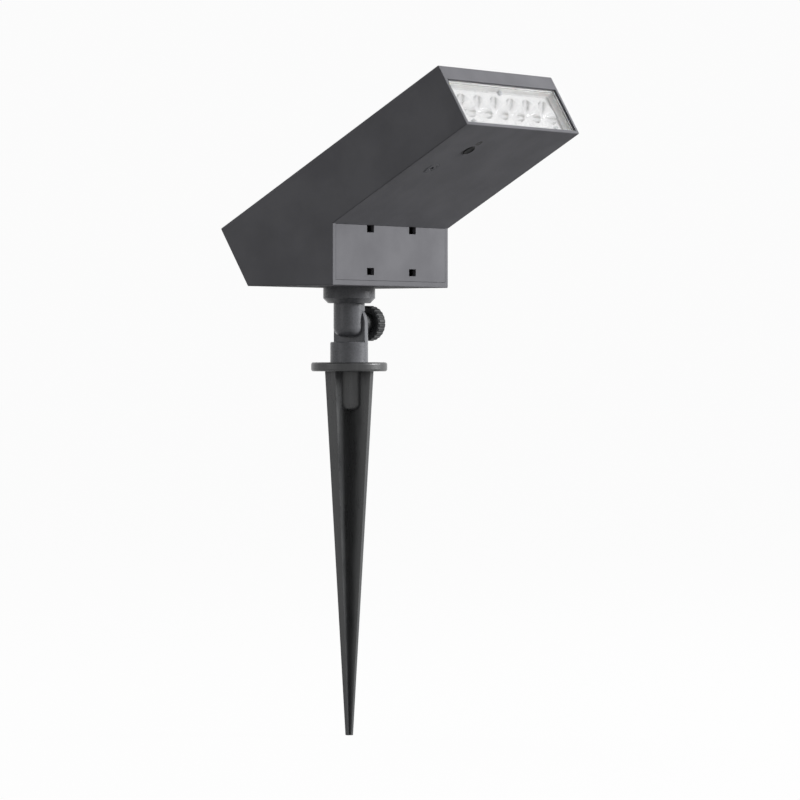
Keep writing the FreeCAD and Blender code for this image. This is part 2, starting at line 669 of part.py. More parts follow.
def housing():
    """Moulded housing: a sloping bar and a foot under its rear end, open at the top, window and foot."""
    part = body("housing")
    foot_front_low = from_world("foot_length", "0")
    profile = sketch(part, "XZ_Plane", "outer_profile")
    outline(profile, [("0", "0"), foot_front_low, (FOOT_X, "0"), ("bar_length", "0"),
                      ("bar_length", "bar_height"), ("0", "bar_height")])
    outer = pad(part, "outer", profile, "bar_width", side="Symmetric")
    sharp = edges(outer, lambda edge: not (edge.BoundBox.XLength < 1 and abs(edge.BoundBox.ZMax) < 0.01
                                           and abs(edge.BoundBox.XMin - value(FOOT_X)) < 0.01))
    dress(part, "Fillet", "soft_edges", outer, sharp, "Radius", "edge_round")

    inner = sketch(part, "XZ_Plane", "inner_profile")
    outline(inner, [
        ("wall", "foot_floor / cos(bar_slope) - wall * tan(bar_slope)"),
        from_world("foot_length - foot_front", "foot_floor"),
        ("(foot_length - foot_front) / cos(bar_slope) + wall * tan(bar_slope)", "wall"),
        (CHAMBER_END, "wall"), (CHAMBER_END, CEILING_Z), ("wall", CEILING_Z),
    ])
    pocket(part, "inside", inner, "bar_width - wall * 2", side="Symmetric")

    recess = sketch(part, "XZ_Plane", "panel_recess")
    rectangle(recess, "panel_rim", SEAL_Z, "bar_length - panel_rim", "bar_height + run_out")
    pocket(part, "panel_seat", recess, f"{PANEL_HALF} * 2", side="Symmetric")
    hatch = sketch(part, "XZ_Plane", "panel_hatch")
    rectangle(hatch, "panel_rim + panel_ledge", f"{CEILING_Z} - run_out",
              "bar_length - panel_rim - panel_ledge_front", "bar_height")
    pocket(part, "hatch", hatch, f"({PANEL_HALF} - panel_ledge) * 2", side="Symmetric")

    window = sketch(part, "XZ_Plane", "window_recess")
    rectangle(window, PLATE_BACK, "window_lip", "bar_length + run_out", WINDOW_TOP)
    pocket(part, "window", window, f"{WINDOW_HALF} * 2", side="Symmetric")
    throat = sketch(part, "XZ_Plane", "window_throat")
    rectangle(throat, f"{CHAMBER_END} - run_out", "window_lip + window_ledge", "bar_length",
              f"{WINDOW_TOP} - window_ledge")
    pocket(part, "throat", throat, f"({WINDOW_HALF} - window_ledge) * 2", side="Symmetric")

    for side, sign, back in (("near", "", True), ("far", "-", False)):
        rail = sketch(part, "XZ_Plane", f"rail_{side}", z=f"{sign}({INNER_HALF} + root)")
        rectangle(rail, f"{HEAT_PLATE_BACK} - rail_thickness", "wall - root", HEAT_PLATE_BACK,
                  f"{CEILING_Z} + root")
        pad(part, f"{side}_rail", rail, "rail_width + root", back=back)

    posts = sketch(part, "XY_Plane", "post_circles", z="wall - root")
    pilots = sketch(part, "XY_Plane", "post_pilots", z=BOARD_Z)
    for x, y in POSTS:
        circle(posts, x, y, "post_radius")
        circle(pilots, x, y, "board_screw_radius + pilot_fit")
    pad(part, "posts", posts, "board_rise + root")
    pocket(part, "post_holes", pilots, "board_rise")

    bosses = sketch(part, "YZ_Plane", "lamp_bosses", z=CHAMBER_END)
    lamp_pilots = sketch(part, "YZ_Plane", "lamp_pilots", z=PLATE_BACK)
    for y, z in LAMP_SCREWS:
        circle(bosses, y, z, "lamp_boss_radius")
        circle(lamp_pilots, y, z, "lamp_screw_radius + pilot_fit")
    pad(part, "bosses", bosses, "ledge_depth")
    pocket(part, "boss_holes", lamp_pilots, "ledge_depth")

    cover = sketch(part, "YZ_Plane", "cover_seat", **FOOT_FACE)
    rectangle(cover, "-bar_width / 2 + cover_frame", "cover_frame", "bar_width / 2 - cover_frame",
              FOOT_HEIGHT)
    pocket(part, "cover_rebate", cover, "cover_thickness")
    opening = sketch(part, "YZ_Plane", "foot_opening", **FOOT_FACE)
    inset = "(cover_frame + cover_ledge)"
    rectangle(opening, f"-bar_width / 2 + {inset}", inset, f"bar_width / 2 - {inset}", FOOT_HEIGHT)
    pocket(part, "foot_mouth", opening, "foot_front + root")

    middle = from_world("foot_length / 2", "0")
    bore = sketch(part, "XY_Plane", "swivel_circle", x=middle[0], z=middle[1], axis=(0, 1, 0),
                  turn="bar_slope")
    circle(bore, "0", "0", "swivel_radius + swivel_fit")
    pocket(part, "swivel_bore", bore, "foot_floor + root", back=True)

    for name, x, y, shank, flange in (
        ("indicator", INDICATOR_X, INDICATOR_Y, "indicator_shank", "indicator_radius"),
        ("vent", VENT_X, VENT_Y, "vent_shank", "vent_radius"),
    ):
        through = sketch(part, "XY_Plane", f"{name}_hole")
        circle(through, x, y, f"{shank} + plug_fit")
        pocket(part, f"{name}_through", through, "wall", back=True)
        seat = sketch(part, "XY_Plane", f"{name}_seat")
        circle(seat, x, y, f"{flange} + plug_fit")
        pocket(part, f"{name}_rebate", seat, "plug_head", back=True)
    button = sketch(part, "XY_Plane", "button_circle")
    circle(button, BUTTON_X, BUTTON_Y, "button_radius + button_clearance")
    pocket(part, "button_hole", button, "wall", back=True)
    on_bar(part)
    return part


def plate(name, x0, z0, x1, z1, width):
    """A flat piece of the bar, from its outline seen from the side and its full width."""
    part = body(name)
    side = sketch(part, "XZ_Plane", f"{name}_side")
    rectangle(side, x0, z0, x1, z1)
    pad(part, f"{name}_slab", side, width, side="Symmetric")
    on_bar(part)
    return part


def panel_glass():
    """Clear cover glass of the solar panel, flush with the bar's top."""
    return plate("panel_glass", "panel_rim + panel_fit", PANEL_Z, "bar_length - panel_rim - panel_fit",
                 "bar_height", f"({PANEL_HALF} - panel_fit) * 2")


def panel_backsheet():
    """White backing sheet of the solar panel."""
    return plate("panel_backsheet", "panel_rim + panel_fit", BACKSHEET_Z,
                 "bar_length - panel_rim - panel_fit", CELL_Z, f"({PANEL_HALF} - panel_fit) * 2")


def solar_cells():
    """Cut silicon cells in a grid between the glass and the backing sheet."""
    columns = round(value("cell_columns"))
    rows = round(value("cell_rows"))
    start = "(panel_rim + cell_margin)"
    length = f"((bar_length - {start} * 2 - cell_gap * (cell_rows - 1)) / cell_rows)"
    half = f"({PANEL_HALF} - cell_margin)"
    width = f"(({half} * 2 - cell_gap * (cell_columns - 1)) / cell_columns)"
    cells = [
        box(f"cell_{row}_{column}", f"{start} + ({length} + cell_gap) * {row}",
            f"-{half} + ({width} + cell_gap) * {column}", CELL_Z, length, width, "cell_thickness")
        for row in range(rows) for column in range(columns)
    ]
    made = group("solar_cells", cells)
    on_bar(made)
    return made


def frame(name, x0, x1, plane, low, high, half, border):
    """A flat ring with square corners, drawn on a plane of the bar."""
    part = body(name)
    across = plane == "YZ_Plane"
    drawing = sketch(part, plane, f"{name}_outline", z=x0)
    if across:
        rectangle(drawing, f"-{half}", low, half, high)
        rectangle(drawing, f"-{half} + {border}", f"{low} + {border}", f"{half} - {border}",
                  f"{high} - {border}")
    else:
        rectangle(drawing, low, f"-{half}", high, half)
        rectangle(drawing, f"{low} + {border}", f"-{half} + {border}", f"{high} - {border}",
                  f"{half} - {border}")
    pad(part, f"{name}_ring", drawing, f"{x1} - {x0}")
    on_bar(part)
    return part


def panel_seal():
    """Foam tape between the solar panel and its ledge."""
    return frame("panel_seal", SEAL_Z, BACKSHEET_Z, "XY_Plane", "panel_rim + panel_fit",
                 "bar_length - panel_rim - panel_fit", f"({PANEL_HALF} - panel_fit)",
                 "(panel_ledge - panel_fit * 2)")


def lens():
    """Clear lamp window, set a little back in the bar's front."""
    return plate("lens", LENS_BACK, "window_lip + window_fit", LENS_FRONT, f"{WINDOW_TOP} - window_fit",
                 f"({WINDOW_HALF} - window_fit) * 2")


def lens_gasket():
    """Silicone ring between the lens and the reflector's plate."""
    return frame("lens_gasket", PLATE_FRONT, LENS_BACK, "YZ_Plane", "(window_lip + window_fit)",
                 f"({WINDOW_TOP} - window_fit)", f"({WINDOW_HALF} - window_fit)", "gasket_width")


def reflector():
    """Moulded reflector: a flat plate with a row of open cone-shaped cups behind it."""
    part = body("reflector")
    face = sketch(part, "YZ_Plane", "plate_face", z=PLATE_BACK)
    half = f"({WINDOW_HALF} - window_fit)"
    rectangle(face, f"-{half}", "window_lip + window_fit", half, f"{WINDOW_TOP} - window_fit")
    pad(part, "face_plate", face, "reflector_plate")
    row_start = "(cup_pitch * (cup_count - 1) / 2)"
    for kind, name, front, mouth, throat in (
        ("Revolution", "cup", PLATE_BACK, "cup_mouth + cup_wall", "cup_throat + cup_wall"),
        ("Groove", "hollow", PLATE_FRONT, "cup_mouth", "cup_throat"),
    ):
        drawing = sketch(part, "XY_Plane", f"{name}_profile", y=f"-{row_start}", z=WINDOW_MID)
        outline(drawing, [(CUP_BACK, "0"), (front, "0"), (front, mouth), (CUP_BACK, throat)])
        turned = spun(part, kind, name, drawing, axis="H_Axis")
        across = part.newObject("PartDesign::LinearPattern", f"{name}_row")
        across.Originals = [turned]
        across.Direction = (drawing, ["V_Axis"])
        across.setExpression("Length", bound("cup_pitch * (cup_count - 1)"))
        across.setExpression("Occurrences", bound("cup_count"))
        part.Tip = across
    screws = sketch(part, "YZ_Plane", "screw_circles", z=PLATE_BACK)
    for y, z in LAMP_SCREWS:
        circle(screws, y, z, "lamp_hole")
    pocket(part, "screw_holes", screws, "reflector_plate", back=True)
    on_bar(part)
    return part


def lamp_screws():
    """Three pan-head screws that hold the reflector's plate to the window's ledge."""
    screws = []
    for number, (y, z) in enumerate(LAMP_SCREWS):
        shank = rod(f"shank_{number}", f"{PLATE_FRONT} - lamp_screw_length", y, z, "lamp_screw_radius",
                    "lamp_screw_length", turn="90")
        head_rod = rod(f"head_{number}", PLATE_FRONT, y, z, "lamp_screw_head", "lamp_screw_cap", turn="90")
        screws.append(joined(f"lamp_screw_{number}", [shank, head_rod]))
    made = group("lamp_screws", screws)
    on_bar(made)
    return made


def led_board():
    """Aluminium-core board behind the cups."""
    return plate("led_board", LED_BOARD_BACK, f"{WINDOW_MID} - led_board_height / 2", CUP_BACK,
                 f"{WINDOW_MID} + led_board_height / 2", "cup_pitch * cup_count")


def leds():
    """One light-emitting diode in the throat of each cup."""
    count = round(value("cup_count"))
    made = group("leds", [
        box(f"led_{number}", CUP_BACK, f"cup_pitch * ({number} - (cup_count - 1) / 2) - led_size / 2",
            f"{WINDOW_MID} - led_size / 2", "led_height", "led_size", "led_size")
        for number in range(count)
    ])
    on_bar(made)
    return made


def heat_plate():
    """Aluminium plate across the bar that carries the LED board, between the side rails and the cups."""
    return plate("heat_plate", HEAT_PLATE_BACK, "heat_plate_bottom", LED_BOARD_BACK,
                 f"{CEILING_Z} - heat_plate_fit", f"({INNER_HALF} - panel_fit) * 2")


def battery_cells():
    """Round lithium cells side by side across the bar."""
    cells = []
    for number in range(round(value("battery_count"))):
        x = f"{TRAY_START} + tray_wall + battery_radius * {2 * number + 1} + battery_gap * {number + 1}"
        z = "wall + tray_wall + battery_radius"
        can = rod(f"can_{number}", x, "battery_length / 2", z, "battery_radius", "battery_length",
                  (1, 0, 0), "90")
        tip = rod(f"tip_{number}", x, "-battery_length / 2", z, "battery_tip_radius", "battery_tip",
                  (1, 0, 0), "90")
        cells.append(joined(f"battery_{number}", [can, tip]))
    made = group("battery_cells", cells)
    on_bar(made)
    return made


def battery_tray():
    """Moulded tray that keeps the cells in place on the bar's floor."""
    part = body("battery_tray")
    drawing = sketch(part, "XZ_Plane", "tray_side")
    rectangle(drawing, TRAY_START, "wall", TRAY_END, "wall + tray_depth")
    pad(part, "tray", drawing, "battery_length + tray_room + tray_wall * 2", side="Symmetric")
    room = sketch(part, "XZ_Plane", "tray_inside")
    rectangle(room, f"{TRAY_START} + tray_wall", "wall + tray_wall", f"{TRAY_END} - tray_wall",
              "wall + tray_depth + run_out")
    pocket(part, "room", room, "battery_length + tray_room", side="Symmetric")
    on_bar(part)
    return part


def control_board():
    """Circuit board on the posts, with the charging and switching parts left off."""
    part = body("control_board")
    plan = sketch(part, "XY_Plane", "board_plan", z=BOARD_Z)
    rectangle(plan, BOARD_START, BOARD_LEFT, BOARD_END, BOARD_RIGHT)
    pad(part, "board", plan, "board_thickness")
    holes = sketch(part, "XY_Plane", "board_holes", z=BOARD_Z)
    for x, y in POSTS:
        circle(holes, x, y, "board_hole")
    pocket(part, "holes", holes, "board_thickness", back=True)
    on_bar(part)
    return part


def board_screws():
    """Pan-head screws through the board into the posts."""
    screws = []
    for number, (x, y) in enumerate(POSTS):
        shank = rod(f"board_shank_{number}", x, y, f"{BOARD_Z} + board_thickness - board_screw_length",
                    "board_screw_radius", "board_screw_length")
        cap = rod(f"board_head_{number}", x, y, f"{BOARD_Z} + board_thickness", "post_radius",
                  "board_screw_cap")
        screws.append(joined(f"board_screw_{number}", [shank, cap]))
    made = group("board_screws", screws)
    on_bar(made)
    return made


def tact_switch():
    """Small switch under the board, over the push button."""
    low = "(wall + button_gap + button_plate + button_travel)"
    made = group("tact_switch", [
        box("switch_case", f"{BUTTON_X} - switch_side / 2", f"{BUTTON_Y} - switch_side / 2", low,
            "switch_side", "switch_side", f"{BOARD_Z} - {low}"),
    ])
    on_bar(made)
    return made


def push_button():
    """Rubber-faced power button, a little proud of the underside, with a flange inside the wall."""
    part = body("push_button")
    profile = sketch(part, "XZ_Plane", "button_profile")
    outline(profile, [
        ("0", "-button_proud"), ("button_radius - button_round", "-button_proud"),
        ("button_radius", "-button_proud + button_round"), ("button_radius", "wall + button_gap"),
        ("button_flange", "wall + button_gap"), ("button_flange", "wall + button_gap + button_plate"),
        ("0", "wall + button_gap + button_plate"),
    ], arcs={1: "button_round"})
    spun(part, "Revolution", "button", profile)
    at_point(part, BUTTON_X, BUTTON_Y)
    return part


def plug(name, x, y, radius, shank):
    """A stepped round plug in the underside, its head flush with the wall."""
    part = body(name)
    profile = sketch(part, "XZ_Plane", f"{name}_profile")
    outline(profile, [("0", "0"), (radius, "0"), (radius, "plug_head"), (shank, "plug_head"),
                      (shank, "wall + plug_end"), ("0", "wall + plug_end")])
    spun(part, "Revolution", f"{name}_plug", profile)
    at_point(part, x, y)
    return part


def indicator_window():
    """Clear plug over the charge light and dusk sensor."""
    return plug("indicator_window", INDICATOR_X, INDICATOR_Y, "indicator_radius", "indicator_shank")


def breather_plug():
    """Plug with a membrane that lets the housing breathe."""
    return plug("breather_plug", VENT_X, VENT_Y, "vent_radius", "vent_shank")


def foot_cover():
    """Front panel of the foot: four windows, a locating lip behind it and a catch under each low window."""
    part = body("foot_cover")
    side = "(bar_width / 2 - cover_frame - cover_fit)"
    face = sketch(part, "YZ_Plane", "cover_face")
    rectangle(face, f"-{side}", "cover_frame + cover_fit", side, f"{FOOT_HEIGHT} - cover_fit")
    pad(part, "cover", face, "cover_thickness", back=True)

    lip_side = f"({side} - cover_ledge)"
    lip_low = "(cover_frame + cover_ledge + cover_fit)"
    catch_depth = "(foot_front - cover_thickness + catch_gap + catch_thickness)"
    lip = sketch(part, "YZ_Plane", "lip_outline", z="-cover_thickness")
    outline(lip, [
        (f"-{lip_side}", "cover_lip_top"), (f"-{lip_side}", lip_low), (lip_side, lip_low),
        (lip_side, "cover_lip_top"), (f"{lip_side} - cover_lip", "cover_lip_top"),
        (f"{lip_side} - cover_lip", f"{lip_low} + cover_lip"),
        (f"-{lip_side} + cover_lip", f"{lip_low} + cover_lip"), (f"-{lip_side} + cover_lip", "cover_lip_top"),
    ])
    pad(part, "lip", lip, catch_depth, back=True)
    for hand, middle in (("near", "-slot_side"), ("far", "slot_side")):
        catch = sketch(part, "YZ_Plane", f"{hand}_catch_face", z="-(foot_front + catch_gap)")
        rectangle(catch, f"{middle} - slot_width / 2", f"{lip_low} - cover_fit - catch_bite",
                  f"{middle} + slot_width / 2", f"{lip_low} + cover_lip / 2")
        pad(part, f"{hand}_catch", catch, "catch_thickness", back=True)
        for row, z in (("low", "slot_low"), ("high", "slot_high")):
            slot = sketch(part, "YZ_Plane", f"{row}_{hand}_slot")
            rectangle(slot, f"{middle} - slot_width / 2", f"{z} - slot_height / 2",
                      f"{middle} + slot_width / 2", f"{z} + slot_height / 2")
            pocket(part, f"{row}_{hand}_window", slot, "cover_thickness")
    place(part, x="foot_length / 2", z=FOOT_Z)
    return part


SUBPARTS = [
    ground_spike(), knuckle_base(), socket_screw(), clamp_washer(),
    knuckle_stem(), thread_insert(), swivel_seal(), swivel_washer(), stem_locknut(),
    clamp_knob(), clamp_screw(),
    housing(), panel_glass(), solar_cells(), panel_backsheet(), panel_seal(),
    lens(), lens_gasket(), reflector(), lamp_screws(), led_board(), leds(), heat_plate(),
    battery_tray(), battery_cells(), control_board(), board_screws(), tact_switch(),
    push_button(), indicator_window(), breather_plug(), foot_cover(),
]

doc.recompute()
for made in doc.Objects:
    if {"Invalid", "Error"} & set(made.State):
        raise RuntimeError(f"{made.Label} is {made.State}")
os.makedirs("parts", exist_ok=True)
for part in SUBPARTS:
    if part.Shape.isNull() or not part.Shape.isValid():
        raise RuntimeError(f"{part.Label} has no valid shape")
    part.Shape.exportStep(f"parts/{part.Label}.step")
    print(part.Label, len(part.Shape.Solids), round(part.Shape.Volume))
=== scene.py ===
import math

import bmesh
import bpy
from mathutils import Matrix, Vector


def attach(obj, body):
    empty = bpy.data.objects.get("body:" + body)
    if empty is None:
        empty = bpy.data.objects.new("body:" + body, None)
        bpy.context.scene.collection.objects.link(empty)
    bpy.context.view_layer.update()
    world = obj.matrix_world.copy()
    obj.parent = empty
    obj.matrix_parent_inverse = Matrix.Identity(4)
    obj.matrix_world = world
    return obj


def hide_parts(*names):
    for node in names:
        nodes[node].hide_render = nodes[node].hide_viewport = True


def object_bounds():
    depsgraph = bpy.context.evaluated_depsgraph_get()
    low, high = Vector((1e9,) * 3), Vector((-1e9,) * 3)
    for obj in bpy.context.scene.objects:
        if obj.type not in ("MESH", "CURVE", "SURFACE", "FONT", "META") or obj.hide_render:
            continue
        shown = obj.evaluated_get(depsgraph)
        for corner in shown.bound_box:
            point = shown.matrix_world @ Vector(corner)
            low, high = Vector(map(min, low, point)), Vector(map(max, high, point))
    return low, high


# Garden spike spotlight: a sloping solar bar with a lamp at its end, a tilting knuckle and a spike.
# Frame: metres, origin where the spike's axis meets the underside of its flange (the soil line),
# +X towards the lit end, +Z up, +Y towards the clamp knob.

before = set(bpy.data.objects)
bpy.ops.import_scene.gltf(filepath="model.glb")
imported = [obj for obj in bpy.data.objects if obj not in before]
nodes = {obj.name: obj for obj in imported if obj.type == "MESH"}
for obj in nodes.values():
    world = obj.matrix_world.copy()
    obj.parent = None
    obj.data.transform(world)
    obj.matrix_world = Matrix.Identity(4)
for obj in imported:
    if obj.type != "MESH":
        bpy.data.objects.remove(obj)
cad_low, cad_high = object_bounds()
MM = 0.001

# The bar frame: origin at the bar's lowest rear edge, x along the slope, z square to it. What sits in the
# bar is modelled there, then laid on the slope.
SLOPE = math.radians(30.2)
ON_BAR = Matrix.Translation(Vector((-34.3, 0, 56)) * MM) @ Matrix.Rotation(-SLOPE, 4, "Y")
ALONG_X = Matrix.Rotation(math.pi / 2, 4, "Y")  # turns a piece modelled along z to lie along x

# Sizes and places in millimetres, in the bar frame.
BAR_LENGTH, BAR_WIDTH, BAR_THICK = 200, 134, 44
PANE_EDGE, PANE_UNDER = 3.3, 41.05  # from the bar's outline, and the pane's underside
CELL_START, CELL_LENGTH, CELL_PITCH, CELL_TOP = 8, 29, 31, 41
CELLS_IN_ROW = 6
RIBBONS_AT = (-44.5, -15.5, 15.5, 44.5)  # across the bar, two over each row of cells
LENS_BACK, LENS_FRONT = 195.55, 198.5
LENS_LOW, LENS_HIGH, LENS_HALF = 2.2, 33.8, 64
LED_BACK, LED_FRONT, LED_HEIGHT, LED_HALF = 181.5, 182.7, 18, 2.2
LED_PITCH, LED_COUNT = 19.2, 6
BUTTON_AT, BUTTON_RADIUS, BUTTON_FLANGE = (171.7, -28), 4.2, 5.4
VENT_AT, VENT_RADIUS = (148.5, -41.5), 5.5
LAMP_SCREWS_AT = [(193.5, 0, 30.2), (193.5, -49, 5.8), (193.5, 49, 5.8)]
BOARD_SCREWS_AT = [(x, y, 7.1) for x in (141, 179) for y in (-45, 19)]
# Screws: radius and height of the head, radius and length of the shank.
LAMP_SCREW, BOARD_SCREW, SPIGOT_SCREW = (1.7, 1.2, 0.85, 4), (3, 1.2, 1.5, 4.4), (3.6, 2, 2, 9)

# A Mix node's colour sockets have numbers: its two inputs and its output.
MIX_FROM, MIX_TO, MIX_OUT = 6, 7, 2


# ---------------------------------------------------------------- finishes

def linear(code):
    """A colour from its sRGB hex value."""
    parts = [int(code[at:at + 2], 16) / 255 for at in (1, 3, 5)]
    return tuple(part / 12.92 if part <= 0.04045 else ((part + 0.055) / 1.055) ** 2.4
                 for part in parts) + (1,)


def add(tree, kind, inputs=None, **settings):
    """Adds a shader node with its settings, values and links."""
    node = tree.nodes.new("ShaderNode" + kind)
    for name, value in settings.items():
        setattr(node, name, value)
    for socket, value in (inputs or {}).items():
        if isinstance(value, bpy.types.NodeSocket):
            tree.links.new(value, node.inputs[socket])
        else:
            node.inputs[socket].default_value = value
    return node


def blank_tree(owner):
    """The node tree of a material or a world, emptied."""
    owner.use_nodes = True
    owner.node_tree.nodes.clear()
    return owner.node_tree


def finish(name, values):
    """A material with one surface shader, returned with its node tree, shader and place on the piece."""
    made = bpy.data.materials.new(name)
    tree = blank_tree(made)
    shader = add(tree, "BsdfPrincipled", values)
    add(tree, "OutputMaterial", {"Surface": shader.outputs["BSDF"]})
    return made, tree, shader, add(tree, "TexCoord").outputs["Object"]


def grain(tree, where, size, detail=3.0, rough=0.5, stretch=(1, 1, 1)):
    """Noise whose patches are about size millimetres across, drawn out along an axis by stretch."""
    drawn = add(tree, "Mapping", {"Vector": where, "Scale": [1 / along for along in stretch]})
    return add(tree, "TexNoise", {"Vector": drawn.outputs["Vector"], "Scale": 1000 / size, "Detail": detail,
                                  "Roughness": rough}).outputs["Fac"]


def tint(tree, shader, pattern, low, high, start=0.35, end=0.65):
    """Colours the surface by a pattern, from one shade to another."""
    ramp = add(tree, "ValToRGB", {"Fac": pattern})
    for stop, place, code in zip(ramp.color_ramp.elements, (start, end), (low, high)):
        stop.position = place
        stop.color = linear(code)
    tree.links.new(ramp.outputs["Color"], shader.inputs["Base Color"])


def gloss(tree, shader, pattern, low, high, start=0.35, end=0.65):
    """Varies the roughness by a pattern, from one value to another."""
    rough = add(tree, "MapRange", {"Value": pattern, "From Min": start, "From Max": end, "To Min": low,
                                   "To Max": high})
    tree.links.new(rough.outputs["Result"], shader.inputs["Roughness"])


def relief(tree, shader, pattern, depth, strength):
    """A pattern as relief, depth millimetres from its lowest to its highest at a strength of 1."""
    raised = add(tree, "Bump", {"Height": pattern, "Distance": depth * MM, "Strength": strength})
    tree.links.new(raised.outputs["Normal"], shader.inputs["Normal"])


def textured_abs():
    """ABS moulded against a spark-eroded steel: an even fine grain that breaks up every highlight."""
    made, tree, shader, where = finish("textured_abs", {"IOR": 1.52, "Specular IOR Level": 0.08})
    cloudy = grain(tree, where, 28, detail=4)
    tint(tree, shader, cloudy, "#717175", "#7a7a7e")
    # the real grain is about 0.15 mm across; drawn at 0.7 mm so that it shows
    pits = grain(tree, where, 0.7, detail=2, rough=0.6)
    gloss(tree, shader, pits, 0.58, 0.72)
    relief(tree, shader, pits, 0.05, 0.6)
    return made


def painted_zinc():
    """Zinc die casting under satin paint: smoother than the plastic, with a slight orange peel."""
    made, tree, shader, where = finish("painted_zinc", {"IOR": 1.5, "Specular IOR Level": 0.3})
    cloudy = grain(tree, where, 11)
    tint(tree, shader, cloudy, "#6d6e72", "#797a7e")
    peel = grain(tree, where, 1.6, detail=1.5)
    gloss(tree, shader, peel, 0.24, 0.34)
    relief(tree, shader, peel, 0.03, 0.5)
    return made


def glass_filled_nylon():
    """Black glass-filled nylon, greyed by its fibres: faint flow streaks, half gloss worn in patches."""
    made, tree, shader, where = finish("glass_filled_nylon", {"IOR": 1.53, "Specular IOR Level": 0.5})
    flow = grain(tree, where, 3, detail=4, stretch=(1, 1, 14))
    tint(tree, shader, flow, "#424344", "#4e4f50")
    scuffs = grain(tree, where, 9, detail=5, rough=0.65, stretch=(1, 1, 3))
    gloss(tree, shader, scuffs, 0.25, 0.42)
    relief(tree, shader, grain(tree, where, 0.9, detail=2, stretch=(1, 1, 5)), 0.03, 0.5)
    return made


def knob_nylon():
    """Black nylon with a fine matt grain for the fingers."""
    made, tree, shader, where = finish("knob_nylon", {"IOR": 1.53, "Specular IOR Level": 0.2})
    cloudy = grain(tree, where, 5)
    tint(tree, shader, cloudy, "#3b3c3d", "#464748")
    pits = grain(tree, where, 0.6, detail=2)
    gloss(tree, shader, pits, 0.38, 0.52)
    relief(tree, shader, pits, 0.03, 0.5)
    return made


def zinc_plated_steel():
    """Bright zinc plating: pale bluish metal with fine turning marks."""
    made, tree, shader, where = finish("zinc_plated_steel", {"Metallic": 1.0})
    marks = grain(tree, where, 0.5, detail=3, stretch=(1, 1, 6))
    tint(tree, shader, marks, "#a9adb1", "#c6c9cc")
    gloss(tree, shader, marks, 0.24, 0.4)
    relief(tree, shader, marks, 0.01, 0.4)
    return made


def turned_brass():
    """Free-cutting brass as turned: warm yellow with fine rings."""
    made, tree, shader, where = finish("turned_brass", {"Metallic": 1.0})
    marks = grain(tree, where, 0.5, detail=3, stretch=(1, 6, 1))
    tint(tree, shader, marks, "#b8934a", "#d0ac62")
    gloss(tree, shader, marks, 0.22, 0.36)
    relief(tree, shader, marks, 0.01, 0.4)
    return made


def black_rubber():
    """Nitrile rubber: near black and dull, with a fine bloom."""
    made, tree, shader, where = finish("black_rubber", {"IOR": 1.52, "Specular IOR Level": 0.15})
    bloom = grain(tree, where, 2.5, detail=4)
    tint(tree, shader, bloom, "#131314", "#1f1f20")
    gloss(tree, shader, bloom, 0.62, 0.78)
    relief(tree, shader, grain(tree, where, 0.5, detail=2), 0.02, 0.4)
    return made


def foam_tape():
    """Closed-cell foam tape: dark grey and porous."""
    made, tree, shader, where = finish("foam_tape", {"IOR": 1.5})
    cells = add(tree, "TexVoronoi", {"Vector": where, "Scale": 1000 / 0.6}).outputs["Distance"]
    tint(tree, shader, cells, "#1d1e1f", "#353637", 0.1, 0.6)
    gloss(tree, shader, cells, 0.95, 0.8, 0.1, 0.6)
    relief(tree, shader, cells, 0.1, 0.6)
    return made


def low_iron_glass():
    """Toughened low-iron glass: clear, with the faint roll waves of patterned glass."""
    made, tree, shader, where = finish("low_iron_glass", {"IOR": 1.52, "Transmission Weight": 1.0,
                                                          "Base Color": linear("#f4fbf8")})
    waves = grain(tree, where, 14, detail=2)
    gloss(tree, shader, waves, 0.01, 0.05)
    relief(tree, shader, waves, 0.01, 0.4)
    return made


def clear_polycarbonate():
    """Moulded clear polycarbonate: glassy, with a trace of flow from the gate."""
    made, tree, shader, where = finish("clear_polycarbonate", {"IOR": 1.58, "Transmission Weight": 1.0,
                                                               "Base Color": linear("#ffffff")})
    flow = grain(tree, where, 9, detail=3)
    gloss(tree, shader, flow, 0.01, 0.06)
    relief(tree, shader, flow, 0.01, 0.4)
    return made


def smoked_polycarbonate():
    """Tinted polycarbonate over the indicator: near black, with a soft gloss."""
    made, tree, shader, where = finish("smoked_polycarbonate", {"IOR": 1.58, "Specular IOR Level": 0.08})
    haze = grain(tree, where, 2)
    tint(tree, shader, haze, "#0d0d0f", "#161618")
    gloss(tree, shader, haze, 0.35, 0.5)
    relief(tree, shader, haze, 0.01, 0.4)
    return made


def tinned_copper():
    """Tinned copper ribbon: soft silver, with fine drawing lines along it."""
    made, tree, shader, where = finish("tinned_copper", {"Metallic": 1.0})
    lines = grain(tree, where, 0.3, detail=3, stretch=(30, 1, 1))
    tint(tree, shader, lines, "#b9bbbd", "#d3d5d6")
    gloss(tree, shader, lines, 0.25, 0.42)
    relief(tree, shader, lines, 0.01, 0.4)
    return made


def metallised_plastic():
    """Vacuum-metallised reflector: aluminium under clear lacquer, bright with a slight orange peel."""
    made, tree, shader, where = finish("metallised_plastic", {"Metallic": 1.0, "Coat Weight": 0.4})
    peel = grain(tree, where, 2.2, detail=2)
    tint(tree, shader, peel, "#f2f2f3", "#fafafa")
    gloss(tree, shader, peel, 0.1, 0.2)
    relief(tree, shader, peel, 0.03, 0.5)
    return made


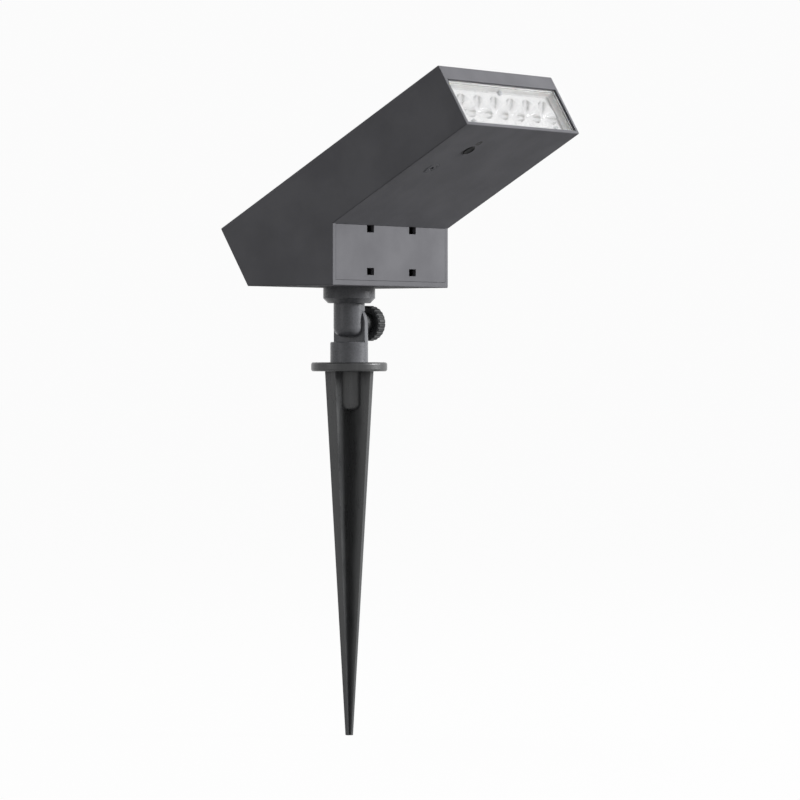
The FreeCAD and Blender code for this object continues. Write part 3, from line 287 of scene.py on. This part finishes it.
def silicon_cell():
    """Silicon under a coat that takes most of the reflection off: blue-black, with silver fingers."""
    made, tree, shader, where = finish("silicon_cell", {"IOR": 1.9, "Roughness": 0.25,
                                                        "Specular IOR Level": 0.12})
    # square up the pattern with the sloping bar
    flat = add(tree, "Mapping", {"Vector": where, "Rotation": (0, SLOPE, 0)}, vector_type="POINT")
    axes = add(tree, "SeparateXYZ", {"Vector": flat.outputs["Vector"]})
    tone = add(tree, "Mix", {"Factor": grain(tree, where, 35, detail=2), MIX_FROM: linear("#0f1628"),
                             MIX_TO: linear("#18253d")}, data_type="RGBA")
    finger_pitch, finger_width = 2 * MM, 0.2 * MM
    steps = add(tree, "Math", {0: axes.outputs["X"], 1: finger_pitch}, operation="MODULO")
    away = add(tree, "Math", {0: steps.outputs[0]}, operation="ABSOLUTE")
    finger = add(tree, "Math", {0: away.outputs[0], 1: finger_width}, operation="LESS_THAN")
    silver = add(tree, "Mix", {"Factor": finger.outputs[0], MIX_FROM: tone.outputs[MIX_OUT],
                               MIX_TO: linear("#8f959c")}, data_type="RGBA")
    tree.links.new(silver.outputs[MIX_OUT], shader.inputs["Base Color"])
    tree.links.new(finger.outputs[0], shader.inputs["Metallic"])
    return made


def white_polymer(name, low, high):
    """White polyester sheet, ceramic or solder mask, as its name says: even and slightly cloudy."""
    made, tree, shader, where = finish(name, {"IOR": 1.5})
    cloudy = grain(tree, where, 6)
    tint(tree, shader, cloudy, low, high)
    gloss(tree, shader, cloudy, 0.4, 0.55)
    relief(tree, shader, grain(tree, where, 0.8, detail=2), 0.02, 0.4)
    return made


def white_silicone():
    """Cast silicone rubber: milky white and soft-edged, a little light passes into it."""
    made, tree, shader, where = finish("white_silicone", {
        "IOR": 1.41, "Subsurface Weight": 0.2, "Subsurface Radius": (1.2 * MM, 1.0 * MM, 0.9 * MM)})
    bloom = grain(tree, where, 3)
    tint(tree, shader, bloom, "#e2e2df", "#efefec")
    gloss(tree, shader, bloom, 0.45, 0.6)
    return made


def led_phosphor():
    """Phosphor under clear silicone on a white ceramic chip: pale yellow, finely speckled."""
    made, tree, shader, where = finish("led_phosphor", {"IOR": 1.45, "Coat Weight": 0.8})
    specks = grain(tree, where, 0.3, detail=4)
    tint(tree, shader, specks, "#e0cf74", "#f0e29c")
    gloss(tree, shader, specks, 0.3, 0.45)
    return made


def rolled_aluminium():
    """Mill-finish aluminium sheet: fine rolling lines across the plate."""
    made, tree, shader, where = finish("rolled_aluminium", {"Metallic": 1.0})
    lines = grain(tree, where, 0.4, detail=4, stretch=(1, 25, 1))
    tint(tree, shader, lines, "#b4b7ba", "#cbcdd0")
    gloss(tree, shader, lines, 0.25, 0.42)
    relief(tree, shader, lines, 0.01, 0.5)
    return made


def shrink_sleeve():
    """PVC heat-shrink over a steel can: glossy blue, with slight puckers."""
    made, tree, shader, where = finish("shrink_sleeve", {"IOR": 1.53})
    puckers = grain(tree, where, 5, detail=3, stretch=(1, 4, 1))
    tint(tree, shader, puckers, "#2c5f8f", "#35709f")
    gloss(tree, shader, puckers, 0.2, 0.35)
    relief(tree, shader, puckers, 0.06, 0.6)
    return made


def moulded_pp():
    """Black polypropylene for parts inside: waxy and slightly uneven."""
    made, tree, shader, where = finish("moulded_pp", {"IOR": 1.49})
    cloudy = grain(tree, where, 8)
    tint(tree, shader, cloudy, "#232425", "#2f3031")
    gloss(tree, shader, cloudy, 0.4, 0.55)
    relief(tree, shader, grain(tree, where, 1.0, detail=2), 0.02, 0.4)
    return made


def board_laminate():
    """Glass-epoxy laminate under green solder mask, with the weave just showing."""
    made, tree, shader, where = finish("board_laminate", {"IOR": 1.52})
    # the real threads are about 0.5 mm apart; drawn 2.5 mm apart so that they show
    warp, weft = (add(tree, "TexWave", {"Vector": where, "Scale": 1000 / 8, "Distortion": 0.4},
                      bands_direction=way).outputs["Fac"] for way in "YX")
    weave = add(tree, "Math", {0: warp, 1: weft}, operation="MULTIPLY").outputs[0]
    tint(tree, shader, weave, "#12492e", "#1b5c3b", 0.0, 1.0)
    gloss(tree, shader, weave, 0.28, 0.4, 0.0, 1.0)
    relief(tree, shader, weave, 0.02, 0.4)
    return made


ABS = textured_abs()
PAINT = painted_zinc()
STEEL = zinc_plated_steel()
RUBBER = black_rubber()
GLASS = low_iron_glass()
LENS = clear_polycarbonate()
CERAMIC = white_polymer("led_ceramic", "#dfe0df", "#ebeceb")
PHOSPHOR = led_phosphor()
RIBBON = tinned_copper()
INNER = moulded_pp()

FINISHES = {
    "ground_spike": glass_filled_nylon(), "knuckle_base": PAINT, "knuckle_stem": PAINT,
    "clamp_washer": STEEL, "clamp_screw": STEEL, "thread_insert": turned_brass(),
    "swivel_seal": RUBBER, "swivel_washer": STEEL, "stem_locknut": STEEL, "clamp_knob": knob_nylon(),
    "housing": ABS, "foot_cover": ABS, "solar_cells": silicon_cell(),
    "panel_backsheet": white_polymer("panel_backing", "#d9dad9", "#e6e7e6"),
    "panel_seal": foam_tape(),
    "lens_gasket": white_silicone(), "reflector": metallised_plastic(),
    "led_board": white_polymer("white_solder_mask", "#dcdddd", "#e9eaea"),
    "heat_plate": rolled_aluminium(), "battery_tray": INNER, "battery_cells": shrink_sleeve(),
    "control_board": board_laminate(), "tact_switch": INNER, "indicator_window": smoked_polycarbonate(),
}
for node, material in FINISHES.items():
    for slot in nodes[node].material_slots:
        slot.material = material


# ---------------------------------------------------------------- modelling

SMOOTH_BELOW = math.radians(35)  # facets that meet at less than this are shaded as one curve


def only(*pieces):
    """Selects these pieces alone, with the first one active."""
    bpy.ops.object.select_all(action="DESELECT")
    for piece in pieces:
        piece.select_set(True)
    bpy.context.view_layer.objects.active = pieces[0]


def start(kind, name, **size):
    """A primitive by itself, ready to shape in edit mode, with everything else left alone."""
    bpy.ops.object.select_all(action="DESELECT")
    getattr(bpy.ops.mesh, f"primitive_{kind}_add")(**size)
    piece = bpy.context.active_object
    piece.name = name
    bpy.ops.object.transform_apply(location=True, rotation=True, scale=True)
    bpy.ops.object.mode_set(mode="EDIT")
    return piece


def block(name, low, high):
    """A block between two corners in millimetres."""
    middle = [(a + b) / 2 * MM for a, b in zip(low, high)]
    return start("cube", name, size=1, location=middle, scale=[(b - a) * MM for a, b in zip(low, high)])


def pick(piece, kind, wanted):
    """Selects the faces or edges whose middle, in millimetres, and direction pass a test."""
    bpy.ops.mesh.select_mode(type="FACE" if kind == "faces" else "EDGE")
    bpy.ops.mesh.select_all(action="DESELECT")
    shape = bmesh.from_edit_mesh(piece.data)
    for part in getattr(shape, kind):
        if kind == "faces":
            middle, way = part.calc_center_median(), part.normal
        else:
            first, last = (vert.co for vert in part.verts)
            middle, way = (first + last) / 2, (last - first).normalized()
        if wanted(middle / MM, way):
            part.select_set(True)
    bmesh.update_edit_mesh(piece.data)


def bevel(width, steps=1):
    """Rounds or chamfers the picked edges."""
    bpy.ops.mesh.bevel(offset=width * MM, segments=steps, affect="EDGES")


def inset(width):
    """A border of that width inside the picked faces."""
    bpy.ops.mesh.inset(thickness=width * MM)


def pull(x=0, y=0, z=0):
    """Draws the picked faces out, or sinks them, with new walls behind."""
    bpy.ops.mesh.extrude_region_move(TRANSFORM_OT_translate={"value": (x * MM, y * MM, z * MM)})


def shift(x=0, y=0, z=0):
    """Moves the picked faces with no new walls, or the selected piece outside an edit."""
    bpy.ops.transform.translate(value=(x * MM, y * MM, z * MM))


def lay(piece, place=None):
    """Ends the edit, lays the piece in its place with its object at the origin, and smooths its curves."""
    if piece.mode == "EDIT":
        bpy.ops.object.mode_set(mode="OBJECT")
    only(piece)
    if place:
        piece.matrix_world = place
        bpy.ops.object.transform_apply(location=True, rotation=True, scale=True)
    bpy.ops.object.shade_smooth_by_angle(angle=SMOOTH_BELOW)
    return piece


def again(piece, name, x=0, y=0, z=0):
    """A copy of a piece with its own mesh, moved along."""
    only(piece)
    bpy.ops.object.duplicate(linked=False)
    copy = bpy.context.active_object
    copy.name = name
    shift(x, y, z)
    bpy.ops.object.transform_apply(location=True, rotation=True, scale=True)
    return copy


def join(name, pieces):
    """One piece made of several."""
    only(*pieces)
    bpy.ops.object.join()
    pieces[0].name = name
    return pieces[0]


def cut(piece, tool):
    """Takes one shape out of another, then clears the tool away."""
    only(piece)
    taken = piece.modifiers.new("cut", "BOOLEAN")
    taken.operation = "DIFFERENCE"
    taken.object = tool
    taken.solver = "EXACT"
    bpy.ops.object.modifier_apply(modifier=taken.name)
    bpy.data.objects.remove(tool, do_unlink=True)


def give(piece, *materials):
    """The piece's finishes, the first one all over."""
    piece.data.materials.clear()
    for material in materials:
        piece.data.materials.append(material)


def paint(slot):
    """Gives the picked faces the piece's finish of that number."""
    bpy.context.object.active_material_index = slot
    bpy.ops.object.material_slot_assign()


def shown(piece, body, node=None):
    """Lets a finished piece ride on its body, and take the place of its plain node if it has one."""
    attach(piece, body)
    if node:
        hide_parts(node)


# ---------------------------------------------------------------- solar panel

def panel_pane():
    """Toughened pane with rounded corners and ground edges, 0.05 mm clear of the cells."""
    side, corner, ground = BAR_WIDTH / 2 - PANE_EDGE, 1.2, 0.35
    pane = block("panel_pane", (PANE_EDGE, -side, PANE_UNDER), (BAR_LENGTH - PANE_EDGE, side, BAR_THICK))
    pick(pane, "edges", lambda middle, way: abs(way.z) > 0.9)
    bevel(corner, 4)
    pick(pane, "edges", lambda middle, way: not PANE_UNDER + 0.05 < middle.z < BAR_THICK - 0.1)
    bevel(ground)
    give(pane, GLASS)
    shown(lay(pane, ON_BAR), "head", "panel_glass")


def cell_ribbon(number, y):
    """A tinned ribbon from cell to cell: over each one, down the gap and up again."""
    half, low, high, edge = 0.75, CELL_TOP + 0.005, CELL_TOP + 0.04, 0.012
    ramp, trough, drop, bare = 0.6, 0.7, 0.3, 1  # bare: left free at both ends of the row
    over = CELL_PITCH - 2 * ramp - trough
    ribbon = block(f"cell_ribbon_{number}", (CELL_START + bare, y - half, low),
                   (CELL_START + CELL_LENGTH + 0.05, y + half, high))
    for cell in range(1, CELLS_IN_ROW):
        pick(ribbon, "faces", lambda middle, way: way.x > 0.9 and middle.x > CELL_PITCH * cell)
        pull(x=ramp, z=-drop)
        pull(x=trough)
        pull(x=ramp, z=drop)
        pull(x=over if cell < CELLS_IN_ROW - 1 else over - bare)
    pick(ribbon, "edges", lambda middle, way: abs(way.y) < 0.1 and abs(middle.y - y) > half - 0.05)
    bevel(edge)
    give(ribbon, RIBBON)
    shown(lay(ribbon, ON_BAR), "head")


# ---------------------------------------------------------------- lamp

def lens_pane():
    """Moulded window: a thin raised border round a flat middle, 0.05 mm clear of its gasket."""
    border, sunk, corner, rim = 1.6, 0.35, 0.6, 0.15
    near = 0.3  # how close to the outline an edge of the rim lies
    pane = block("lens_pane", (LENS_BACK, -LENS_HALF, LENS_LOW), (LENS_FRONT, LENS_HALF, LENS_HIGH))
    pick(pane, "faces", lambda middle, way: way.x > 0.9)
    inset(border)
    pull(x=-sunk)
    pick(pane, "edges", lambda middle, way: abs(way.x) > 0.9)
    bevel(corner, 3)
    pick(pane, "edges", lambda middle, way: middle.x > LENS_FRONT - 0.1 and (
        abs(middle.y) > LENS_HALF - near or not LENS_LOW + near < middle.z < LENS_HIGH - near))
    bevel(rim)
    give(pane, LENS)
    shown(lay(pane, ON_BAR), "head", "lens")


def led_row():
    """Six ceramic packages, each with a round well full of phosphor and a nick at one corner."""
    first = -LED_PITCH * (LED_COUNT - 1) / 2
    nick, well_radius, well_depth, cutter = 0.5, 1.7, 0.4, 1
    ring, swell = 0.5, 0.12  # the phosphor stands a little higher inside this ring
    package = block("led_row", (LED_BACK, first - LED_HALF, LED_HEIGHT - LED_HALF),
                    (LED_FRONT, first + LED_HALF, LED_HEIGHT + LED_HALF))
    pick(package, "edges",
         lambda middle, way: abs(way.x) > 0.9 and middle.y > first and middle.z > LED_HEIGHT)
    bevel(nick)
    bpy.ops.object.mode_set(mode="OBJECT")
    well = start("cylinder", "well", vertices=32, radius=well_radius * MM, depth=cutter * MM,
                 location=((LED_FRONT - well_depth + cutter / 2) * MM, first * MM, LED_HEIGHT * MM),
                 rotation=(0, math.pi / 2, 0))
    bpy.ops.object.mode_set(mode="OBJECT")
    cut(package, well)
    give(package, CERAMIC, PHOSPHOR)
    bpy.ops.object.mode_set(mode="EDIT")
    pick(package, "faces", lambda middle, way: way.x > 0.9 and middle.x < LED_FRONT - well_depth / 2)
    paint(1)
    inset(ring)
    shift(x=swell)
    lay(package)
    row = [package] + [again(package, f"led_{number}", y=LED_PITCH * number)
                       for number in range(1, LED_COUNT)]
    shown(lay(join("led_row", row), ON_BAR), "head", "leds")


def pan_head_screw(name, head, cap, shank, length):
    """A cross-recessed screw along its own axis: rounded head, straight shank and a blunt tip."""
    dome, blunt = 0.45, 0.55  # the rounding as a share of the cap, and the tip as a share of the shank
    across, wide, narrowed = 1.1, 0.26, (0.5, 0.6, 1)  # one slot of the recess, narrower at its floor
    screw = start("cylinder", name, vertices=40, radius=head * MM, depth=cap * MM,
                  location=(0, 0, cap / 2 * MM))
    pick(screw, "edges", lambda middle, way: middle.z > cap - 0.01)
    bevel(cap * dome, 4)
    pick(screw, "faces", lambda middle, way: way.z < -0.9)
    inset(head - shank)
    pull(z=-length + shank / 2)
    pull(z=-shank / 2)
    bpy.ops.transform.resize(value=(blunt, blunt, 1), center_override=(0, 0, -length * MM))
    bpy.ops.object.mode_set(mode="OBJECT")
    for turn in (0, math.pi / 2):
        slot = start("cube", "slot", size=1, location=(0, 0, cap * MM), rotation=(0, 0, turn),
                     scale=(head * across * MM, head * wide * MM, cap * MM))
        pick(slot, "faces", lambda middle, way: way.z < -0.9)
        bpy.ops.transform.resize(value=narrowed)
        bpy.ops.object.mode_set(mode="OBJECT")
        cut(screw, slot)
    give(screw, STEEL)
    return screw


def screw_set(name, node, sizes, places, turn):
    """The same screw at several places of the bar, as one piece."""
    screw = pan_head_screw(name, *sizes)
    lay(screw, Matrix.Translation(Vector(places[0]) * MM) @ turn)
    moves = [Vector(place) - Vector(places[0]) for place in places[1:]]
    copies = [again(screw, f"{name}_{number}", *move) for number, move in enumerate(moves, start=1)]
    shown(lay(join(name, [screw] + copies), ON_BAR), "head", node)


# ---------------------------------------------------------------- underside and spike

def power_button():
    """Rubber button: a soft rim round a shallow dish for the fingertip, and a flange inside the wall."""
    x, y = BUTTON_AT
    low, high = -0.6, 2.6  # its outer face, proud of the wall, and the underside of its flange
    rounding, lip, step, flange = 0.4, 0.35, 0.16, 1
    wider = BUTTON_FLANGE / BUTTON_RADIUS
    button = start("cylinder", "power_button", vertices=56, radius=BUTTON_RADIUS * MM,
                   depth=(high - low) * MM, location=(x * MM, y * MM, (low + high) / 2 * MM))
    pick(button, "edges", lambda middle, way: middle.z < low + 0.01)
    bevel(rounding, 4)
    pick(button, "faces", lambda middle, way: way.z < -0.999)
    inset(lip)
    pull(z=step)
    for width, deeper in ((1.0, 0.14), (1.1, 0.08)):
        inset(width)
        shift(z=deeper)
    pick(button, "faces", lambda middle, way: way.z > 0.999)
    bpy.ops.mesh.extrude_region()
    bpy.ops.transform.resize(value=(wider, wider, 1), center_override=(x * MM, y * MM, high * MM))
    pull(z=flange)
    give(button, RUBBER)
    shown(lay(button, ON_BAR), "button", "push_button")


def vent_cap():
    """Breather plug: a shallow ring groove in its head and a membrane well in the middle."""
    x, y = VENT_AT
    head, edge, barrel, reach = 1.2, 0.2, 3.85, 2.3
    rim, groove, groove_depth = 0.9, 0.5, 0.25
    land, well_depth = 2.2, 0.4  # land: from the groove to the well
    groove_radius = VENT_RADIUS - edge - rim - groove / 2
    plug = start("cylinder", "vent_cap", vertices=64, radius=VENT_RADIUS * MM, depth=head * MM,
                 location=(x * MM, y * MM, head / 2 * MM))
    pick(plug, "edges", lambda middle, way: middle.z < 0.01)
    bevel(edge, 2)
    pick(plug, "faces", lambda middle, way: way.z < -0.999)
    inset(rim)
    inset(groove)
    pick(plug, "faces",
         lambda middle, way: way.z < -0.999 and abs(math.dist(middle.xy, VENT_AT) - groove_radius) < 0.2)
    pull(z=groove_depth)
    pick(plug, "faces", lambda middle, way: way.z < -0.999 and math.dist(middle.xy, VENT_AT) < 0.5)
    inset(land)
    pull(z=well_depth)
    pick(plug, "faces", lambda middle, way: way.z > 0.999 and middle.z > head - 0.1)
    inset(VENT_RADIUS - barrel)
    pull(z=reach)
    give(plug, ABS)
    shown(lay(plug, ON_BAR), "head", "breather_plug")


def spigot_screw():
    """The screw that locks the knuckle in the spike, between two ribs."""
    socket_wall, below = 10.55, 9  # from the spike's axis, and under the flange's underside
    around = Matrix.Rotation(math.radians(135), 4, "Z")
    place = Matrix.Translation(around @ Vector((socket_wall, 0, -below)) * MM) @ around @ ALONG_X
    screw = pan_head_screw("spigot_screw", *SPIGOT_SCREW)
    shown(lay(screw, place), "spike", "socket_screw")


panel_pane()
for number, y in enumerate(RIBBONS_AT):
    cell_ribbon(number, y)
lens_pane()
led_row()
screw_set("reflector_screws", "lamp_screws", LAMP_SCREW, LAMP_SCREWS_AT, ALONG_X)
screw_set("board_fixings", "board_screws", BOARD_SCREW, BOARD_SCREWS_AT, Matrix.Identity(4))
power_button()
vent_cap()
spigot_screw()


# ---------------------------------------------------------------- floor, light and camera

SKY_LIGHT = 0.26    # what the surround gives as light
SKY_SEEN = 0.968    # what the eye, gloss and glass see of it, as white as the floor in the distance
FLOOR_GLOW = 0.96   # the share of the floor seen that glows, so that its shadow stays faint


def stage_floor():
    """A wide pale floor under the spike's tip that keeps a faint shadow."""
    bpy.ops.object.select_all(action="DESELECT")
    across, gap = 60, 0.3 * MM
    bpy.ops.mesh.primitive_plane_add(size=across, location=(0, 0, cad_low.z - gap))
    floor = bpy.context.active_object
    floor.name = "floor"
    made = bpy.data.materials.new("pale_floor")
    tree = blank_tree(made)
    seen = looked_at(tree)
    tone = add(tree, "Mix", {"Factor": seen, MIX_FROM: linear("#666666"), MIX_TO: linear("#e8e8e8")},
               data_type="RGBA")
    matt = add(tree, "BsdfDiffuse", {"Color": tone.outputs[MIX_OUT]})
    white = add(tree, "Emission", {"Color": (1, 1, 1, 1), "Strength": 1.0})
    share = add(tree, "Math", {0: seen, 1: FLOOR_GLOW}, operation="MULTIPLY")
    mixed = add(tree, "MixShader", {0: share.outputs[0], 1: matt.outputs[0], 2: white.outputs[0]})
    add(tree, "OutputMaterial", {"Surface": mixed.outputs[0]})
    floor.data.materials.append(made)


def looked_at(tree):
    """1 where something is seen by the eye, in gloss or through glass, and 0 where it only gives light."""
    path = add(tree, "LightPath")
    seen = path.outputs["Is Camera Ray"]
    for ray in ("Is Glossy Ray", "Is Transmission Ray"):
        seen = add(tree, "Math", {0: seen, 1: path.outputs[ray]}, operation="MAXIMUM").outputs[0]
    return seen


def sky():
    """An even surround: a dim light all round that looks white."""
    world = bpy.data.worlds.new("studio")
    bpy.context.scene.world = world
    tree = blank_tree(world)
    level = add(tree, "MapRange", {"Value": looked_at(tree), "To Min": SKY_LIGHT, "To Max": SKY_SEEN})
    light = add(tree, "Background", {"Color": (1, 1, 1, 1), "Strength": level.outputs["Result"]})
    add(tree, "OutputWorld", {"Surface": light.outputs[0]})


def lamp(name, place, target, size, power):
    """A square soft light that faces its target, in metres and watts."""
    light = bpy.data.lights.new(name, "AREA")
    light.size = size
    light.energy = power
    holder = bpy.data.objects.new(name, light)
    holder.location = place
    holder.rotation_euler = (Vector(target) - Vector(place)).to_track_quat("-Z", "Y").to_euler()
    bpy.context.scene.collection.objects.link(holder)


stage_floor()
sky()
lamp("key", (1.58, 1.09, 0.64), (0.05, 0, 0.05), 0.7, 45)
lamp("fill", (-0.7, -1.7, 0.5), (0.03, 0, 0.05), 0.8, 4)
lamp("top", (-0.5, 0.1, 1.7), (0.05, 0, 0.1), 0.8, 6)

# The camera was solved from ten corners of the bar and the foot, as the photograph shows them.
CAMERA_AT, CAMERA_TURN, CAMERA_DIP = (1.5486, -2.1911, 0.0085), 34.53, 0.589
view = bpy.data.cameras.new("camera")
view.lens = 181.6
view.sensor_width = 36
view.clip_end = 20
camera = bpy.data.objects.new("camera", view)
camera.location = CAMERA_AT
camera.rotation_euler = (math.radians(90 - CAMERA_DIP), 0, math.radians(CAMERA_TURN))
bpy.context.scene.collection.objects.link(camera)
bpy.context.scene.camera = camera
bpy.context.scene.view_settings.view_transform = "Standard"
